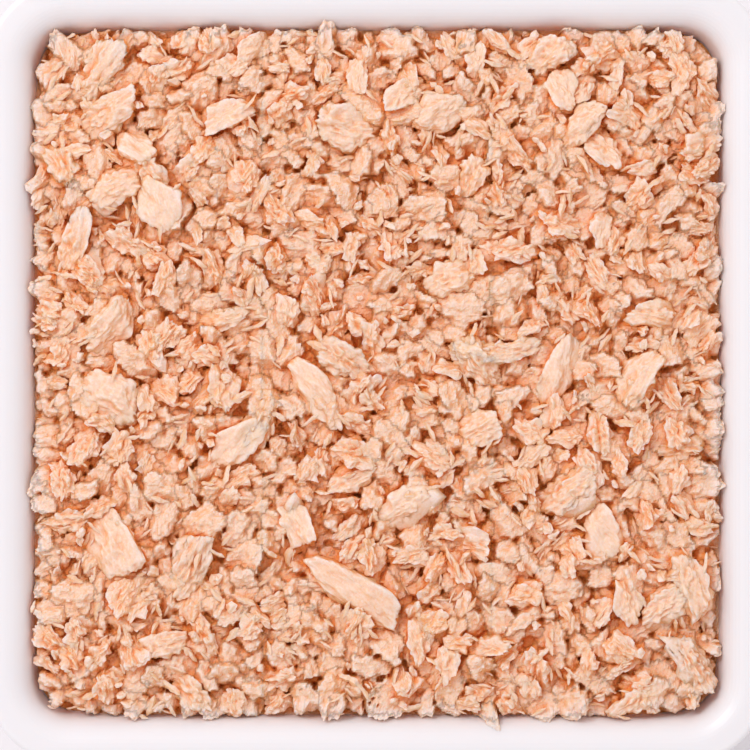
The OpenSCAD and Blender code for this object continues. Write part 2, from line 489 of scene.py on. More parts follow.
@dataclass(frozen=True)
class Kind:
    """One kind of torn piece.

    Lengths are in mm. A width is a share of the length, a thickness is a share of the width, and each pair
    of numbers is a range that sizes are drawn from. The blank is made in so many steps and cut by so many
    side planes (cuts), its top and bottom planes lean by about facet, and crisp is how sharp the edges
    between planes are. Lump, ripple, crumple and fray are reliefs in mm, bow and twist say how much it
    bends, and tilt is a spread in degrees. Sunk is the share of the underside that the ground may pass
    through. The more tries, the lower the spot that is found. Stray is how far the heading may turn from
    that of the fibres below, in radians. The rim share is how much of the painted highlight the piece's
    sharp crests get.
    """

    name: str
    steps: int
    length: tuple[float, float]
    slender: tuple[float, float]
    flat: tuple[float, float]
    shading: Shading = Shading.CRUMBLED
    cuts: int = 5
    facet: float = 0.35
    crisp: float = 14.0
    lump: float = 0.4
    ripple: float = 0.2
    crumple: float = 0.3
    fray: float = 0.4
    bow: float = 0.06
    twist: float = 0.12
    tilt: float = 14.0
    sunk: float = 0.66
    tries: int = 10
    stray: float = math.pi
    rim_highlight_share: float = 1.0
    form: Form = Form.FLAKE


@dataclass(frozen=True)
class PlacedFlake:
    """A large flake whose place is listed.

    Its place is a share of the heap's half width across and up, its heading is in degrees and its sizes
    are in mm.
    """

    across: float
    up: float
    heading: float
    length: float
    width: float
    pale: float = 0.6
    smooth: float = 0.5


PLACED_FLAKES = (
    PlacedFlake(-0.17, -0.05, -52, 17.5, 6.5, 0.75, 0.9),
    PlacedFlake(-0.40, -0.20, 40, 15.5, 8.0, 0.9, 0.9),
    PlacedFlake(-0.07, -0.62, -36, 22.5, 7.5, 0.35, 0.7),
    PlacedFlake(-0.75, -0.49, -60, 14.5, 9.0, 0.6, 0.6),
    PlacedFlake(0.52, 0.0, 75, 15.5, 6.5, 0.7, 0.9),
    PlacedFlake(0.75, -0.01, 55, 14.5, 6.5, 0.6, 0.6),
    PlacedFlake(-0.77, 0.13, 45, 14.0, 8.0, 0.6, 0.6),
    PlacedFlake(-0.76, -0.07, -40, 14.5, 9.5, 0.85, 0.5),
    PlacedFlake(-0.44, 0.15, 10, 11.0, 5.0, 0.6, 0.4),
    PlacedFlake(0.21, 0.27, 20, 11.0, 6.5, 0.6, 0.4),
    PlacedFlake(0.26, 0.06, -10, 8.5, 5.0, 0.9, 0.7),
    PlacedFlake(0.30, -0.16, 30, 11.0, 7.0, 0.6, 0.5),
    PlacedFlake(0.07, -0.38, 35, 11.5, 7.0, 0.9, 0.6),
    PlacedFlake(-0.08, 0.70, -10, 14.0, 8.0, 0.6, 0.3),
    PlacedFlake(0.08, 0.81, 35, 11.5, 6.0, 0.7, 0.5),
    PlacedFlake(0.17, 0.74, 25, 12.0, 7.0, 0.6, 0.5),
    PlacedFlake(-0.81, 0.87, 60, 13.0, 7.5, 0.5, 0.3),
    PlacedFlake(-0.78, 0.75, 30, 14.5, 7.0, 0.5, 0.3),
    PlacedFlake(-0.69, 0.65, -35, 10.5, 7.0, 1.0, 0.9),
    PlacedFlake(-0.63, 0.49, -70, 15.0, 7.5, 0.95, 0.8),
    PlacedFlake(-0.76, 0.54, 25, 11.5, 7.0, 0.6, 0.5),
    PlacedFlake(-0.43, 0.74, 25, 10.5, 6.0, 0.7, 0.5),
    PlacedFlake(0.50, 0.92, 40, 11.0, 7.0, 0.6, 0.4),
    PlacedFlake(0.53, 0.81, -60, 9.5, 6.0, 0.8, 0.7),
    PlacedFlake(0.59, 0.72, 50, 13.0, 5.5, 0.7, 0.6),
    PlacedFlake(0.66, 0.64, -55, 9.5, 5.5, 0.6, 0.5),
    PlacedFlake(0.65, 0.41, 80, 7.5, 5.0, 0.9, 0.8),
    PlacedFlake(0.55, -0.33, 35, 16.0, 7.5, 0.6, 0.2),
    PlacedFlake(0.65, -0.45, -55, 13.0, 7.0, 0.8, 0.8),
    PlacedFlake(0.72, -0.66, -75, 11.0, 5.0, 0.6, 0.5),
    PlacedFlake(0.91, -0.61, -70, 14.5, 6.0, 0.5, 0.4),
    PlacedFlake(-0.23, -0.44, -60, 10.0, 5.0, 0.8, 0.6),
    PlacedFlake(-0.53, -0.56, 70, 18.5, 7.0, 0.5, 0.2),
    PlacedFlake(-0.61, -0.78, 15, 12.0, 6.0, 0.6, 0.4),
)


@dataclass
class Blank:
    """The triangles that every piece of one kind is shaped from."""

    points: Points
    faces: Faces

    # How far a sphere's points are lifted before they are drawn back onto it, which crowds them on top.
    LIFT = 0.55
    # The icosahedron's edges are 2 long, and no other two of its corners are so near.
    NEIGHBOUR = 2.1

    @classmethod
    def geodesic(cls, steps: int) -> "Blank":
        """Make a unit sphere of triangles, which are finer on its upper side, the one that shows.

        Args:
            steps: Triangles along each edge of the icosahedron that it starts from.

        Returns:
            The blank.
        """
        golden = (1 + math.sqrt(5)) / 2
        ends = [(0, a, b * golden) for a in (-1, 1) for b in (-1, 1)]
        corners = np.array([np.roll(end, turn) for turn in range(3) for end in ends])
        near = np.linalg.norm(corners[:, None] - corners[None], axis=2) < cls.NEIGHBOUR
        triples = [(a, b, c) for a in range(12) for b in range(a) for c in range(b)
                   if near[a, b] and near[b, c] and near[a, c]]
        points, faces = [], []
        for triple in triples:
            a, b, c = corners[list(triple)]
            if np.dot(np.cross(b - a, c - a), a) < 0:
                b, c = c, b
            first = len(points)
            row_start = [i * (steps + 1) - i * (i - 1) // 2 for i in range(steps + 2)]
            for i in range(steps + 1):
                points += [a * (steps - i - j) + b * i + c * j for j in range(steps + 1 - i)]
            for i in range(steps):
                for j in range(steps - i):
                    here, ahead = first + row_start[i] + j, first + row_start[i + 1] + j
                    faces.append((here, ahead, here + 1))
                    if j < steps - i - 1:
                        faces.append((ahead, ahead + 1, here + 1))
        sphere = np.array(points)
        sphere /= np.linalg.norm(sphere, axis=1, keepdims=True)
        sphere[:, 2] += cls.LIFT
        sphere /= np.linalg.norm(sphere, axis=1, keepdims=True)
        _, keep, same = np.unique(np.round(sphere, 6), axis=0, return_index=True, return_inverse=True)
        return cls(sphere[keep], same.ravel()[np.array(faces)])

    @classmethod
    def strand(cls, rings: int, sides: int) -> "Blank":
        """Make a tube with pointed ends: X runs from -1 to 1 and Y, Z lie on a unit circle.

        Args:
            rings: Rings of points between the two tips.
            sides: Points in a ring.

        Returns:
            The blank.
        """
        along = np.linspace(-1, 1, rings + 2)[1:-1]
        angles = np.arange(sides) * 2 * math.pi / sides
        tube = np.array([(x, math.cos(a), math.sin(a)) for x in along for a in angles])
        points = np.vstack([tube, [(-1, 0, 0), (1, 0, 0)]])
        faces = []
        for side in range(sides):
            after = (side + 1) % sides
            for ring in range(rings - 1):
                low, high = ring * sides, (ring + 1) * sides
                faces.append((low + side, low + after, high + side))
                faces.append((high + side, low + after, high + after))
            last = (rings - 1) * sides
            faces += [(len(tube), after, side), (len(tube) + 1, last + side, last + after)]
        return cls(points, np.array(faces))


@dataclass
class Lot:
    """Pieces of one kind, shaped but not yet laid, each about its own middle with its fibres along X.

    Under says which of a piece's points are on its underside.
    """

    points: Points
    grain: Points
    faces: Faces
    sizes: Points
    under: np.ndarray


@dataclass(frozen=True)
class Cutting:
    """How the planes that cut a blank are set.

    The side planes stand round it at even steps. Each is turned by up to a share of a step and leans by up
    to so many radians. Three caps face up and one faces down. The end planes turn and lean by spreads of
    slope. Each far is a range of distances, as shares of the blank's half size.
    """

    side_turn: float = 0.35
    side_lean: float = 0.6
    side_far: tuple[float, float] = (0.66, 1.0)
    caps: tuple[float, ...] = (1.0, 1.0, 1.0, -1.0)
    cap_far: tuple[float, float] = (0.5, 0.95)
    ends: tuple[float, float] = (1.0, -1.0)
    end_turn: float = 0.3
    end_lean: float = 0.4
    end_far: tuple[float, float] = (0.7, 0.95)


class Tearing:
    """Shapes lots of torn pieces."""

    # Beta spreads: many short pieces and few long ones, colours about even, most faces rough.
    LENGTHS = (1.3, 2.2)
    PALENESS = (2.2, 2.0)
    SMOOTHNESS = (1.2, 2.4)
    SMOOTHEST = 0.7

    # Shares of the relief, terraces, torn sides and end teeth that are left on a whole face.
    WHOLE_RELIEF = 0.25
    WHOLE_TERRACES = 0.5
    WHOLE_SIDES = 0.35
    WHOLE_TEETH = 0.3

    # The lift that makes up for the crumpling's hollows, and how far out along a piece its teeth start.
    CRUMPLE_LIFT = 0.3
    TEETH_FROM = 0.45

    # Each piece reads the noise at a place of its own, up to so far off.
    FAR = 100

    # Broad lobes follow a flake's own half width, within limits in mm, and have a weight of their own.
    LOBE = (1.7, 0.9, 0.9)
    LOBE_LIMITS = (0.9, 2.4)
    LOBE_WEIGHT = 2.4

    # Terraces to each unit of the noise, and the share of each terrace that is its riser.
    TERRACES = 3.2
    RISER = 0.22

    # Points of the blank that are lower than this are on the underside.
    UNDER = 0.05

    # Sway of a flake as a share of its bow, and cup as a share of its half width.
    SWAY = 0.7
    CUP = 0.25

    # A shred: the sides of its section, how much noise half its length runs through, how blunt its tips
    # are, how much it swells and the height and run of its waves, sideways and upwards.
    STRAND_SIDES = 4
    SWELL_RUN = 2.5
    TIPS = (1.6, 4.0)
    TIP_POWER = 0.8
    SWELL = 0.9
    WAVES = ((0.04, 3.5), (0.03, 4.0))

    def __init__(self, rng: np.random.Generator, noise: Grain) -> None:
        """Keep the draws and the noise that every lot uses.

        Args:
            rng: The heap's random numbers.
            noise: The lumps and fibres of the flesh.
        """
        self.rng = rng
        self.noise = noise

    def sizes(self, kind: Kind, count: int) -> Points:
        """Draw lengths, widths and thicknesses.

        Args:
            kind: The kind of piece.
            count: How many.

        Returns:
            One row of three sizes for each piece.
        """
        low, high = kind.length
        length = low + (high - low) * self.rng.beta(*self.LENGTHS, count)
        width = length * self.rng.uniform(*kind.slender, count)
        thick = width * self.rng.uniform(*kind.flat, count)
        return np.stack([length, width, thick], axis=1)

    def paleness(self, count: int) -> np.ndarray:
        """Draw how pale each piece is, from 0 to 1."""
        return self.rng.beta(*self.PALENESS, count)

    def smoothness(self, count: int) -> np.ndarray:
        """Draw how whole each piece's faces are."""
        return self.SMOOTHEST * self.rng.beta(*self.SMOOTHNESS, count)

    def shape(self, kind: Kind, sizes: Points, smooth: np.ndarray) -> Lot:
        """Shape a lot of one kind.

        Args:
            kind: The kind of piece.
            sizes: Length, width and thickness of each.
            smooth: How whole each one's faces are, from 0 to 1, which a shred doesn't use.

        Returns:
            The shaped lot.
        """
        if kind.form is Form.STRAND:
            return self.shreds(kind, sizes)
        return self.flakes(kind, sizes, smooth)

    def flakes(self, kind: Kind, sizes: Points, smooth: np.ndarray) -> Lot:
        """Shape flakes and chunks: a blunt, cut-cornered blank, roughened along its fibres and bent.

        Args:
            kind: The kind of piece.
            sizes: Length, width and thickness of each.
            smooth: How whole each one's faces are, from 0 to 1.

        Returns:
            The shaped lot.
        """
        blank = Blank.geodesic(kind.steps)
        count = len(sizes)
        half = sizes[:, None, :] / 2
        rough = (1 - (1 - self.WHOLE_RELIEF) * smooth)[:, None]
        points = self.cut(kind, blank.points, count)[..., None] * blank.points[None] * half
        outward = blank.points[None] / half
        outward /= np.linalg.norm(outward, axis=2, keepdims=True)
        start = self.rng.uniform(-self.FAR, self.FAR, (count, 1, 3))
        side = 1 - np.abs(outward[..., 2])

        lobe = np.clip(half[..., 1:2], *self.LOBE_LIMITS)
        broad = self.noise.at(points / (lobe * np.array(self.LOBE)) + start)
        lumps = self.noise.at(Unevenness.LUMPS.places(points, start))
        lumpy = self.LOBE_WEIGHT * broad + Unevenness.LUMPS.weight * lumps * rough
        points += outward * (kind.lump * lumpy)[..., None]
        folds = self.noise.ridged(Unevenness.FOLDS.places(points, start))
        fibres = self.noise.ridged(Unevenness.FIBRES.places(points, start))
        rippled = Unevenness.FOLDS.weight * folds + Unevenness.FIBRES.weight * fibres
        points += outward * (kind.ripple * rippled * rough)[..., None]
        ramp = self.TERRACES * self.noise.at(Unevenness.TERRACES.places(points, start))
        part = ramp - np.floor(ramp)
        terrace = smoothstep(0.0, self.RISER, part) - part
        stepped = kind.ripple * Unevenness.TERRACES.weight * terrace
        points += outward * (stepped * self.left(self.WHOLE_TERRACES, rough))[..., None]
        wads = self.noise.billowed(Unevenness.WADS.places(points, start))
        crumbs = self.noise.billowed(Unevenness.CRUMBS.places(points, start))
        crumpled = Unevenness.WADS.weight * wads + Unevenness.CRUMBS.weight * crumbs + self.CRUMPLE_LIFT
        points += outward * (kind.crumple * crumpled * rough)[..., None]

        jag = self.noise.at(Unevenness.JAGS.places(points, start))
        notch = self.noise.billowed(Unevenness.NOTCHES.places(points, start))
        jagged = Unevenness.JAGS.weight * jag + Unevenness.NOTCHES.weight * notch
        torn = kind.fray * jagged * side * self.left(self.WHOLE_SIDES, rough)
        points[..., :2] += outward[..., :2] * torn[..., None]
        reach = np.abs(points[..., 0]) / half[..., 0]
        teeth = self.noise.ridged(Unevenness.TEETH.places(points, start))
        pull = Unevenness.TEETH.weight * kind.fray * smoothstep(self.TEETH_FROM, 1.0, reach) * teeth
        points[..., 0] += np.sign(points[..., 0]) * (pull * self.left(self.WHOLE_TEETH, rough))

        grain = points + start
        self.bend(kind, points, half)
        return Lot(points, grain, blank.faces, sizes, blank.points[:, 2] < self.UNDER)

    @staticmethod
    def left(share: float, rough: np.ndarray) -> np.ndarray:
        """How much of a relief is left: all of it on a torn face, a share of it on a whole one."""
        return share + (1 - share) * rough

    def cut(self, kind: Kind, directions: Points, count: int) -> np.ndarray:
        """Cut the corners of a round blank with flat planes, and blunt where they meet.

        Args:
            kind: The kind of piece.
            directions: The blank's points.
            count: How many pieces.

        Returns:
            The radius of each point of each piece.
        """
        how = Cutting()
        turn = np.arange(kind.cuts) + self.rng.uniform(-how.side_turn, how.side_turn, (count, kind.cuts))
        turn *= 2 * math.pi / kind.cuts
        turn += self.rng.uniform(0, math.pi, (count, 1))
        lean = self.rng.uniform(-how.side_lean, how.side_lean, (count, kind.cuts))
        around = np.stack([np.cos(turn) * np.cos(lean), np.sin(turn) * np.cos(lean), np.sin(lean)], axis=2)
        tip = self.rng.normal(0, kind.facet, (count, len(how.caps), 2))
        caps = np.stack([tip[..., 0], tip[..., 1], np.tile(how.caps, (count, 1))], axis=2)
        caps /= np.linalg.norm(caps, axis=2, keepdims=True)
        ends = np.stack([np.tile(how.ends, (count, 1)), self.rng.normal(0, how.end_turn, (count, 2)),
                         self.rng.normal(0, how.end_lean, (count, 2))], axis=2)
        ends /= np.linalg.norm(ends, axis=2, keepdims=True)
        normals = np.concatenate([around, caps, ends], axis=1)
        far = np.concatenate([self.rng.uniform(*how.side_far, (count, kind.cuts)),
                              self.rng.uniform(*how.cap_far, (count, len(how.caps))),
                              self.rng.uniform(*how.end_far, (count, len(how.ends)))], axis=1)
        press = np.maximum(np.einsum("nkc,vc->nvk", normals, directions), 0) / far[:, None, :]
        return np.sum(press ** kind.crisp, axis=2) ** (-1 / kind.crisp)

    def bend(self, kind: Kind, points: Points, half: Points) -> None:
        """Bow, sway, cup and twist each piece along its length, in place.

        Args:
            kind: The kind of piece.
            points: The pieces' points.
            half: Half of each one's sizes.
        """
        count = len(points)
        along = points[..., 0] / half[..., 0]
        across = points[..., 1] / half[..., 1]
        bow, sway, cup, twist = (self.rng.normal(0, 1, (count, 1)) for _ in range(4))
        angle = kind.twist * twist * along
        y = points[..., 1] * np.cos(angle) - points[..., 2] * np.sin(angle)
        z = points[..., 1] * np.sin(angle) + points[..., 2] * np.cos(angle)
        points[..., 1] = y + self.SWAY * kind.bow * sway * half[..., 0] * along ** 2
        arch = half[..., 0] * np.abs(bow) * along ** 2
        hollow = self.CUP * half[..., 1] * cup * across ** 2
        points[..., 2] = z - kind.bow * (arch + hollow)

    def shreds(self, kind: Kind, sizes: Points) -> Lot:
        """Shape shreds: flat strands of fibre with pointed ends, which curl and turn over.

        Args:
            kind: The kind of piece, whose steps are the rings along a shred.
            sizes: Length, width and thickness of each.

        Returns:
            The shaped lot.
        """
        blank = Blank.strand(kind.steps, self.STRAND_SIDES)
        count = len(sizes)
        half = sizes[:, None, :] / 2
        start = self.rng.uniform(-self.FAR, self.FAR, (count, 1, 3))
        along = np.tile(blank.points[None, :, 0], (count, 1))
        swell_at = [along * self.SWELL_RUN + start[..., 0], start[..., 1] + 0 * along, 0 * along]
        swell = self.noise.at(np.stack(swell_at, axis=2))
        taper = (1 - np.abs(along) ** self.rng.uniform(*self.TIPS, (count, 1))) ** self.TIP_POWER
        body = taper * (1 + self.SWELL * swell)
        turn = self.rng.normal(0, kind.twist, (count, 1)) * along + self.rng.uniform(-0.5, 0.5, (count, 1))
        y = blank.points[None, :, 1] * half[..., 1] * body
        z = blank.points[None, :, 2] * half[..., 2] * body
        points = np.stack([along * half[..., 0], y * np.cos(turn) - z * np.sin(turn),
                           y * np.sin(turn) + z * np.cos(turn)], axis=2)
        grain = points + start
        wave = self.rng.uniform(0, 2 * math.pi, (count, 1))
        bow, sway = (self.rng.normal(0, kind.bow, (count, 1)) for _ in range(2))
        (side_high, side_run), (up_high, up_run) = self.WAVES
        sideways = sway * along ** 2 + side_high * np.sin(side_run * along + wave)
        downwards = np.abs(bow) * along ** 2 + up_high * np.cos(up_run * along + wave)
        points[..., 1] += half[..., 0] * sideways
        points[..., 2] -= half[..., 0] * downwards
        return Lot(points, grain, blank.faces, sizes, np.ones(len(blank.points), dtype=bool))


class HeightField:
    """Heights of what has been laid so far, on a square grid over the well."""

    # Places on a triangle that are stamped: its corners, the middles of its sides and its middle.
    SPREAD = ((1.0, 0.0), (0.0, 1.0), (0.0, 0.0), (0.5, 0.5), (0.5, 0.0), (0.0, 0.5), (0.33, 0.33))

    # Share of the depth that is left along the wall, and how far in from it the full depth is reached.
    SHALLOW = 0.62
    SHORE = 2.0

    # How pale the bare surface is.
    BARE_TINT = 0.3

    def __init__(self, half: float, cell: float, mound: Mound, depth: float) -> None:
        """Start with a bare surface under the mound.

        Args:
            half: Half width of the grid.
            cell: Width of one cell.
            mound: The heap's broad shape.
            depth: How far the bare surface lies under the mound, away from the wall.
        """
        self.half = half
        self.cell = cell
        self.count = int(2 * half / cell) + 1
        lines = (np.arange(self.count) + 0.5) * cell - half
        x, y = np.meshgrid(lines, lines, indexing="ij")
        self.level = mound.height(x, y)
        inward = -outside_square(x, y, mound.half, mound.corner)
        deep = self.SHALLOW + (1 - self.SHALLOW) * smoothstep(0.0, self.SHORE, inward)
        self.z = self.level - depth * deep
        self.guard = np.zeros_like(self.z)
        self.heading = np.zeros_like(self.z)
        self.tint = np.full_like(self.z, self.BARE_TINT)

    def cells(self, x: np.ndarray, y: np.ndarray) -> tuple[np.ndarray, np.ndarray]:
        """Find the cell that each place is in.

        Args:
            x: Places along X.
            y: Places along Y.

        Returns:
            The cells' numbers along X and along Y.
        """
        i = np.clip(((x + self.half) / self.cell).astype(np.int64), 0, self.count - 1)
        j = np.clip(((y + self.half) / self.cell).astype(np.int64), 0, self.count - 1)
        return i, j

    def at(self, x: np.ndarray, y: np.ndarray) -> np.ndarray:
        """Read the height at each place."""
        return self.z[self.cells(x, y)]

    def blurred(self, x: np.ndarray, y: np.ndarray) -> np.ndarray:
        """Read the height at each place, blended from the four cells round it.

        Args:
            x: Places along X.
            y: Places along Y.

        Returns:
            The heights.
        """
        u = np.clip((x + self.half) / self.cell - 0.5, 0, self.count - 1.001)
        v = np.clip((y + self.half) / self.cell - 0.5, 0, self.count - 1.001)
        i, j = u.astype(np.int64), v.astype(np.int64)
        p, q = u - i, v - j
        low = self.z[i, j] * (1 - q) + self.z[i, j + 1] * q
        high = self.z[i + 1, j] * (1 - q) + self.z[i + 1, j + 1] * q
        return low * (1 - p) + high * p

    def lowness(self, x: np.ndarray, y: np.ndarray, reach: float) -> np.ndarray:
        """Measure how far the surface stands over the mound's level round each place.

        Args:
            x: Places along X.
            y: Places along Y.
            reach: How far round to look.

        Returns:
            The mean height over the level, with the guarded cells counted as higher.
        """
        total = np.zeros_like(x)
        ways = ((0, 0), (1, 0), (-1, 0), (0, 1), (0, -1))
        for dx, dy in ways:
            i, j = self.cells(x + dx * reach, y + dy * reach)
            total += self.z[i, j] - self.level[i, j] + self.guard[i, j]
        return total / len(ways)

    def raise_to(self, points: Points, faces: Faces, heading: float, tint: float) -> None:
        """Raise the surface to a laid piece's upper faces.

        Args:
            points: The piece's points.
            faces: Its triangles.
            heading: Angle of its fibres from X.
            tint: How pale it is.
        """
        a, b, c = points[faces[:, 0]], points[faces[:, 1]], points[faces[:, 2]]
        up = (b[:, 0] - a[:, 0]) * (c[:, 1] - a[:, 1]) > (b[:, 1] - a[:, 1]) * (c[:, 0] - a[:, 0])
        a, b, c = a[up], b[up], c[up]
        spots = np.concatenate([a * u + b * v + c * (1 - u - v) for u, v in self.SPREAD])
        i, j = self.cells(spots[:, 0], spots[:, 1])
        before = self.z[i, j]
        np.maximum.at(self.z, (i, j), spots[:, 2])
        now = self.z[i, j] > before
        self.heading[i[now], j[now]] = heading
        self.tint[i[now], j[now]] = tint

    def close_pits(self) -> None:
        """Fill pits and cracks that are a single cell wide."""
        z = self.z
        over_x = np.minimum(z[:-2, 1:-1], z[2:, 1:-1])
        over_y = np.minimum(z[1:-1, :-2], z[1:-1, 2:])
        z[1:-1, 1:-1] = np.maximum(z[1:-1, 1:-1], np.maximum(over_x, over_y))


class Heap:
    """Lays torn pieces into the well, each where the surface is low, until they make the mound."""

    # The height field: its margin past the well, its cells and the depth that it starts at, in mm.
    MARGIN = 1.0
    CELL = 0.3
    START_DEPTH = 4.2

    # Shares of a piece's half width: how far its middle stays inside the heap's outline, how much tighter
    # the outline's corner is for it, and how far round it the surface is looked at.
    INSET = 0.35
    TIGHTER_CORNER = 0.5
    LOOK_ROUND = 0.6

    # What is added to the height of a place outside the outline, so that it is never picked.
    OUT_OF_BOUNDS = 50.0

    # A piece leans by a share of the ground's slope, which is read over a share of its size either way.
    GROUND_REACH = 0.4
    GROUND_SHARE = 0.7
    STEEPEST = 0.6

    # How far a piece's highest point may stand over the mound.
    HEADROOM = 1.9

    # How deep a point may lie and still be at the top, when it starts to be buried and when it wholly is.
    AT_TOP = 0.5
    BURIED = (0.3, 1.6)

    # Directions and distances in which a point looks round, how near a crest's sides have to fall away,
    # and the slope at which their fall counts in full.
    TURNS = 10
    REACHES = (0.7, 1.4, 2.6, 4.2)
    CREST_REACH = 2
    STEEPEST_CREST = 2

    def __init__(self, well: Well, mound: Mound, rng: np.random.Generator) -> None:
        """Start an empty heap.

        Args:
            well: The hollow that holds it.
            mound: The shape that it is heaped to.
            rng: Its random numbers.
        """
        self.well = well
        self.mound = mound
        self.rng = rng
        self.field = HeightField(well.half_at_rim + self.MARGIN, self.CELL, mound, self.START_DEPTH)

    def low_spot(self, reach: float, tries: int) -> tuple[float, float]:
        """Draw places at random, and take the lowest of them.

        Args:
            reach: Half the piece's width.
            tries: How many places are drawn.

        Returns:
            The place's X and Y.
        """
        half = self.mound.half - self.INSET * reach
        x, y = self.rng.uniform(-half, half, (2, tries))
        beyond = outside_square(x, y, half, self.mound.corner - self.TIGHTER_CORNER * reach)
        score = self.field.lowness(x, y, self.LOOK_ROUND * reach)
        score += np.where(beyond > 0, self.OUT_OF_BOUNDS, 0.0)
        best = int(np.argmin(score))
        return float(x[best]), float(y[best])

    def axes(self, x: float, y: float, heading: float, size: Points, tilt: float) -> Points:
        """Turn a piece to its heading, and lean it with the ground below and a little at random.

        Args:
            x: Its middle along X.
            y: Its middle along Y.
            heading: Angle of its fibres from X.
            size: Its length, width and thickness.
            tilt: Spread of its own lean, in degrees.

        Returns:
            The rotation, one row for each of the piece's axes.
        """
        run = np.array([math.cos(heading), math.sin(heading)])
        side = np.array([-run[1], run[0]])
        slopes = []
        for way, extent in ((run, size[0]), (side, size[1])):
            reach = extent * self.GROUND_REACH
            both = np.array([-reach, reach])
            ends = self.field.at(x + way[0] * both, y + way[1] * both)
            ground = np.clip((ends[1] - ends[0]) / (2 * reach), -self.STEEPEST, self.STEEPEST)
            slopes.append(self.GROUND_SHARE * ground + math.tan(math.radians(self.rng.normal(0, tilt))))
        along = np.array([run[0], run[1], slopes[0]])
        along /= np.linalg.norm(along)
        across = np.array([side[0], side[1], slopes[1]])
        up = np.cross(along, across)
        up /= np.linalg.norm(up)
        return np.array([along, np.cross(up, along), up])

    def settle(self, points: Points, under: np.ndarray, x: float, y: float, share: float) -> Points:
        """Set a turned piece down: inside the wall, on what lies below it, and not above the mound.

        Args:
            points: The piece's points about its own middle.
            under: Which of them are on its underside.
            x: Its middle along X.
            y: Its middle along Y.
            share: The share of its underside that the ground may pass through.

        Returns:
            Its points in place.
        """
        placed = points + (x, y, 0.0)
        for _ in range(2):
            low = placed[under]
            gap = self.field.at(low[:, 0], low[:, 1]) - low[:, 2]
            rank = int(share * (len(gap) - 1))
            placed[:, 2] += np.partition(gap, rank)[rank]
            limit = self.well.half_at(placed[:, 2])
            over = outside_square(placed[:, 0], placed[:, 1], limit, limit - self.well.corner_mid)
            if over.max() <= 0:
                break
            far = placed[int(np.argmax(over)), :2]
            way = np.sign(far) * np.maximum(np.abs(far) - self.well.corner_mid, 0)
            placed[:, :2] -= way / max(np.linalg.norm(way), 1e-6) * over.max()
        top = int(np.argmax(placed[:, 2]))
        roof = self.mound.height(placed[top, 0], placed[top, 1]) + self.HEADROOM
        placed[:, 2] -= max(placed[top, 2] - min(roof, self.mound.top_z), 0)
        return placed

    def lay(self, kind: Kind, lot: Lot, pale: np.ndarray, spots: list[PlacedFlake] | None = None,
            guard: float = 0.0) -> Points:
        """Lay a lot, piece by piece.

        Args:
            kind: The kind of piece.
            lot: The shaped pieces.
            pale: How pale each one is.
            spots: Where and how each one lies, if that is listed.
            guard: How much is added to the surface's height afterwards when low spots are sought, so that
                less is laid on top.

        Returns:
            The pieces' points in place.
        """
        laid = np.empty_like(lot.points)
        for number, points in enumerate(lot.points):
            size = lot.sizes[number]
            if spots:
                spot = spots[number]
                x, y = spot.across * self.mound.half, spot.up * self.mound.half
                heading = math.radians(spot.heading)
            else:
                x, y = self.low_spot(size[1] / 2, kind.tries)
                below = float(self.field.heading[self.field.cells(np.array(x), np.array(y))])
                heading = below + self.rng.uniform(-kind.stray, kind.stray)
            turned = points @ self.axes(x, y, heading, size, kind.tilt)
            laid[number] = self.settle(turned, lot.under, x, y, kind.sunk)
            self.field.raise_to(laid[number], lot.faces, heading, pale[number])
            if guard:
                self.field.guard[self.field.cells(laid[number][:, 0], laid[number][:, 1])] = guard
        return laid

    def seen_share(self, points: Points) -> np.ndarray:
        """Measure how much of each piece lies at the top of the heap.

        Args:
            points: The points of all the pieces, piece by piece.

        Returns:
            The share of each one's points that are at the surface.
        """
        over = self.field.at(points[..., 0], points[..., 1]) - points[..., 2]
        return np.mean(over < self.AT_TOP, axis=1)

    def exposure(self, points: Points) -> dict[str, np.ndarray]:
        """Measure how each point stands among what lies round it.

        Args:
            points: Points of the heap.

        Returns:
            Two marks: one from 0 in the open to 1 in a closed hollow, which sets the painted shade, and
                one from
            0 on a face to 1 on a sharp crest, which sets the painted highlight.
        """
        x, y, z = points[:, 0], points[:, 1], points[:, 2]
        closed = np.zeros(len(points))
        fall = np.zeros(len(points))
        for step in range(self.TURNS):
            angle = step * 2 * math.pi / self.TURNS
            rise = np.zeros(len(points))
            for reach in self.REACHES:
                over = self.field.blurred(x + reach * math.cos(angle), y + reach * math.sin(angle)) - z
                rise = np.maximum(rise, over / reach)
                if reach < self.CREST_REACH:
                    fall += np.clip(-over / reach, 0, self.STEEPEST_CREST) / self.STEEPEST_CREST
            closed += rise * rise / (1 + rise * rise)
        # Closed hollows and buried points set where shade is painted, sharp crests where a highlight is
        # painted.
        buried = smoothstep(*self.BURIED, self.field.blurred(x, y) - z)
        painted_shade = np.maximum(closed / self.TURNS, buried)
        return {"painted_shade": painted_shade, "crest_highlight": fall / self.TURNS * (1 - buried)}


@dataclass
class Surface:
    """The triangles of one piece of the heap, with what its finish reads at each point.

    Grain is each point's place along and across its own fibres, pale how pale its flake is, and rough how
    torn its flake's faces are.
    """

    points: Points
    faces: Faces
    grain: Points
    pale: np.ndarray
    rough: np.ndarray


